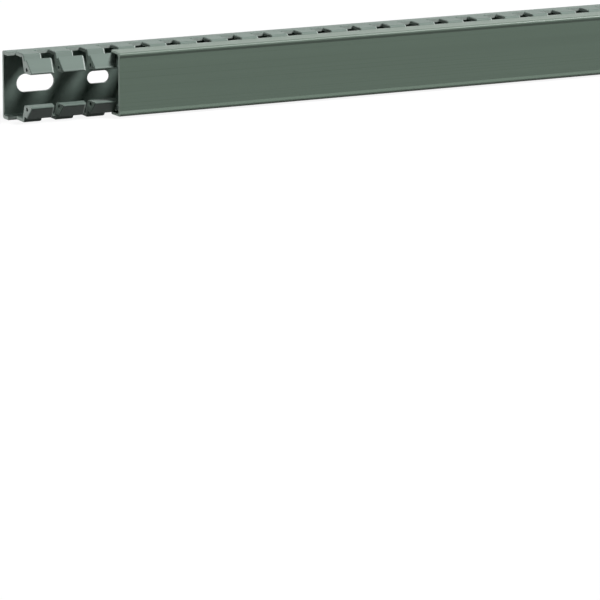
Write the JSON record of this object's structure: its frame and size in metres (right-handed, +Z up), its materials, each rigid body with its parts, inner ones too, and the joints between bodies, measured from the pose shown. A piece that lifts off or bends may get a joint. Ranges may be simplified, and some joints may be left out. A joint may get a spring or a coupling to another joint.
{
  "type": "slotted wire duct",
  "caption": "Slotted plastic wiring duct with a clip-on cover, lying on its side, the cover pushed along so that finger heads and mounting slots show at one end.",
  "frame": {"origin": "middle of the box round base and cover, at the level that the duct lies on", "axes": "+X along the duct, from the open end towards the end that the cover stands out of; +Y towards the duct's back, which is screwed to a panel; +Z up, from one side wall to the other"},
  "size_m": [2.0374, 0.02, 0.025],
  "materials": {
    "base_plastic": "satin grey-green rigid PVC",
    "cover_plastic": "satin grey-green rigid PVC"
  },
  "bodies": {
    "base": {"duct_base": "base_plastic"},
    "cover": {"duct_cover": "cover_plastic"}
  },
  "joints": [
    {"name": "cover_slide", "type": "slide", "parent": "base", "child": "cover", "axis": [1, 0, 0], "range_m": [-0.0375, 0.9625]}
  ]
}
